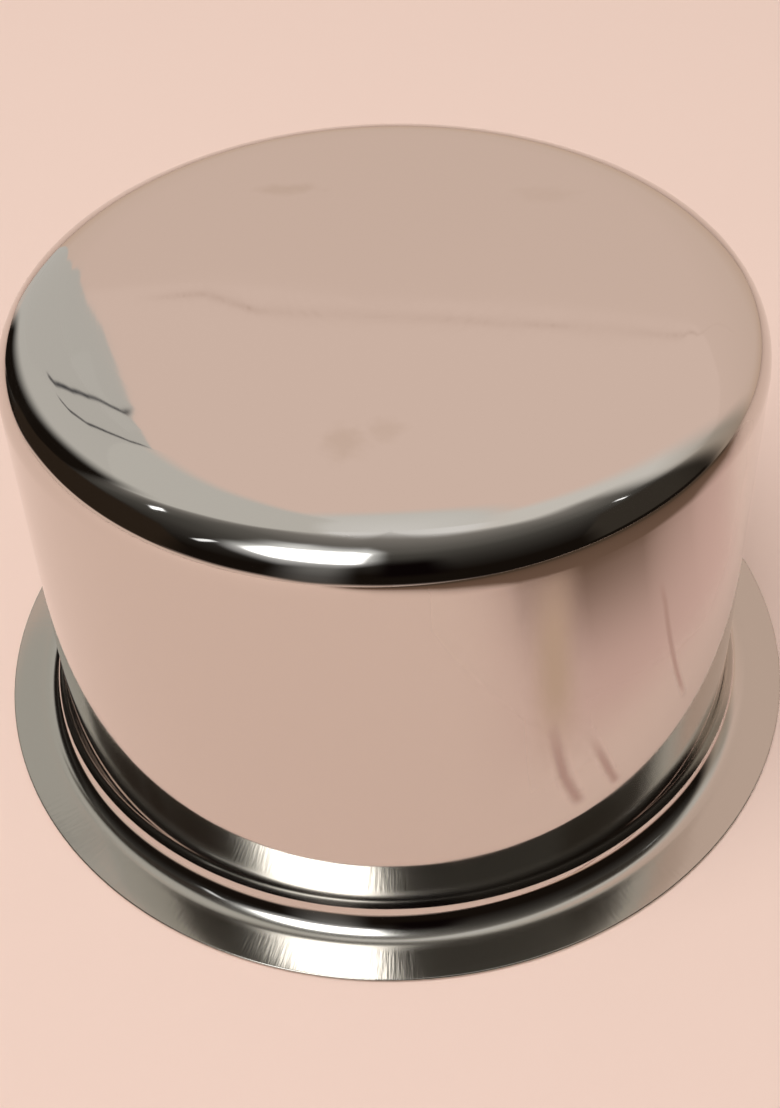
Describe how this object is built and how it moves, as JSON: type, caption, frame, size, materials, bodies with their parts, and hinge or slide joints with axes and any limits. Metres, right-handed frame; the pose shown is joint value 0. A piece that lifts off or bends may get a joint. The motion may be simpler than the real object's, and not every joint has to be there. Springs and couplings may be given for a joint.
{
  "type": "stockpot",
  "caption": "Mirror-polished steel stockpot standing upside down on its flat rim: plain drawn cup with a flat base, a round knuckle and gently tapered walls.",
  "frame": {"origin": "centre of the mouth, in the plane of the rim's lower face, which the pot stands on in the picture", "axes": "+Z along the pot's axis, from the mouth to the base; X and Y are alike because the pot is round"},
  "size_m": [0.3, 0.3, 0.164],
  "materials": {
    "mirror_steel": "mirror polished stainless steel",
    "turned_steel": "stainless steel with fine turning marks round the axis"
  },
  "bodies": {
    "root": {"pot_body": "mirror_steel", "rim_ring": "turned_steel"}
  },
  "joints": []
}
